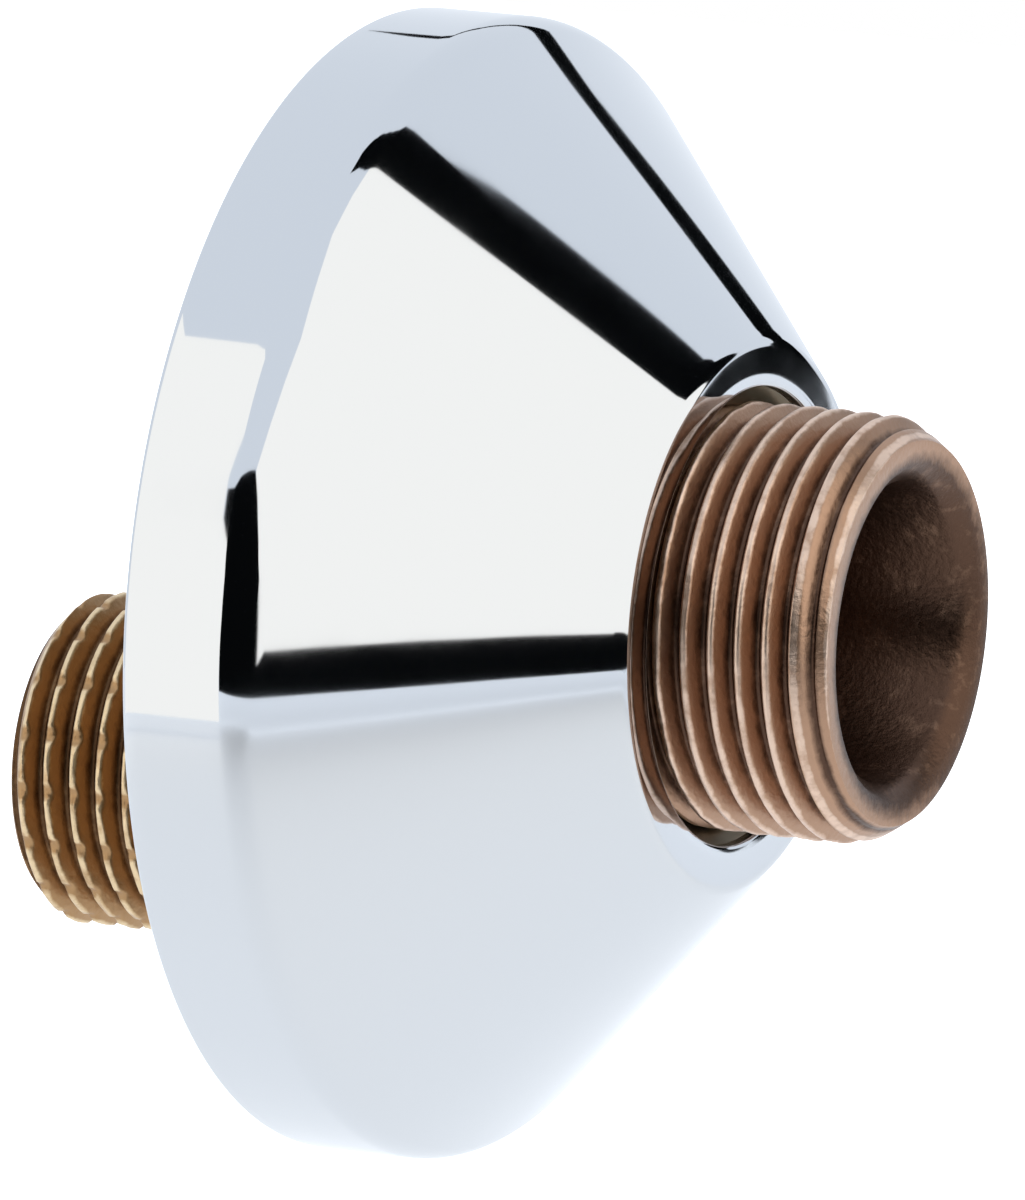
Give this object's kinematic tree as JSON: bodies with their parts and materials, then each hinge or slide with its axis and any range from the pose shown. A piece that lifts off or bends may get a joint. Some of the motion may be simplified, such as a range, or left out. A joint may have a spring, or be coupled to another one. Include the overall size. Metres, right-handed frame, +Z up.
{
  "type": "s-union",
  "caption": "Offset wall union for an exposed mixer: bare bronze S-shaped body with a threaded end on each side, under a plated bell-shaped wall rosette.",
  "frame": {"origin": "where the axis of the wall thread meets the wall plane, which is the plane of the rosette's rim", "axes": "+Y along the wall thread into the wall, -Y out of the wall towards the mixer, +Z up, so the front thread's axis lies 13.4 mm above the wall thread's axis"},
  "size_m": [0.0708, 0.0569, 0.0708],
  "materials": {
    "bare_bronze": "bare cast and turned bronze, threads cut bright, worn lead-in and end face",
    "chrome_plate": "polished and chrome plated outside and inside"
  },
  "bodies": {
    "root": {"s_body": "bare_bronze", "wall_rosette": "chrome_plate"}
  },
  "joints": []
}
